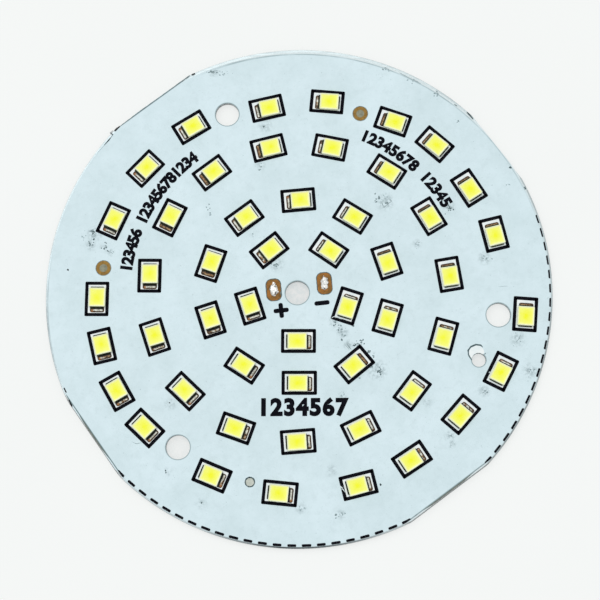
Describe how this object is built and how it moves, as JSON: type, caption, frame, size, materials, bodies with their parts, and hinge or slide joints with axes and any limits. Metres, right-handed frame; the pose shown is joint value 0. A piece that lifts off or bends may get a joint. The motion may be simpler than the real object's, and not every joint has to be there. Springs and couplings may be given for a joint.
{
  "type": "round led board",
  "caption": "Round aluminium-core lamp board: a thin white disc with snapped flats, rings of yellow surface-mount LEDs in printed frames, and wire pads beside a middle hole.",
  "frame": {"origin": "middle of the punched outline, on the flat back face", "axes": "+Z out of the lit face, +X to the right and +Y up as the plus and minus marks read"},
  "size_m": [0.083, 0.083, 0.0016],
  "materials": {
    "bare_aluminium": "rolled sheet, sheared edge",
    "dielectric": "filled epoxy layer",
    "copper": "tarnished bare copper",
    "white_mask": "satin white solder mask with fine dust",
    "black_ink": "screen-printed ink",
    "white_housing": "moulded white reflector",
    "phosphor": "yellow phosphor in clear silicone",
    "lead_metal": "silver-plated lead",
    "led_die": "sapphire die",
    "solder": "dull reflowed solder"
  },
  "bodies": {
    "root": {"base_plate": "bare_aluminium", "dielectric_layer": "dielectric", "copper_foil": "copper", "solder_mask": "white_mask", "silkscreen": "black_ink", "led_leads": "lead_metal", "led_chips": "led_die", "led_phosphor": "phosphor", "solder_joints": "solder", "wire_pad_solder": "solder", "led_housing_01": "white_housing", "led_housing_02": "white_housing", "led_housing_03": "white_housing", "led_housing_04": "white_housing", "led_housing_05": "white_housing", "led_housing_06": "white_housing", "led_housing_07": "white_housing", "led_housing_08": "white_housing", "led_housing_09": "white_housing", "led_housing_10": "white_housing", "led_housing_11": "white_housing", "led_housing_12": "white_housing", "led_housing_13": "white_housing", "led_housing_14": "white_housing", "led_housing_15": "white_housing", "led_housing_16": "white_housing", "led_housing_17": "white_housing", "led_housing_18": "white_housing", "led_housing_19": "white_housing", "led_housing_20": "white_housing", "led_housing_21": "white_housing", "led_housing_22": "white_housing", "led_housing_23": "white_housing", "led_housing_24": "white_housing", "led_housing_25": "white_housing", "led_housing_26": "white_housing", "led_housing_27": "white_housing", "led_housing_28": "white_housing", "led_housing_29": "white_housing", "led_housing_30": "white_housing", "led_housing_31": "white_housing", "led_housing_32": "white_housing", "led_housing_33": "white_housing", "led_housing_34": "white_housing", "led_housing_35": "white_housing", "led_housing_36": "white_housing", "led_housing_37": "white_housing", "led_housing_38": "white_housing", "led_housing_39": "white_housing", "led_housing_40": "white_housing", "led_housing_41": "white_housing", "led_housing_42": "white_housing", "led_housing_43": "white_housing", "led_housing_44": "white_housing", "led_housing_45": "white_housing", "led_housing_46": "white_housing", "led_housing_47": "white_housing", "led_housing_48": "white_housing", "led_housing_49": "white_housing", "led_housing_50": "white_housing"}
  },
  "joints": []
}
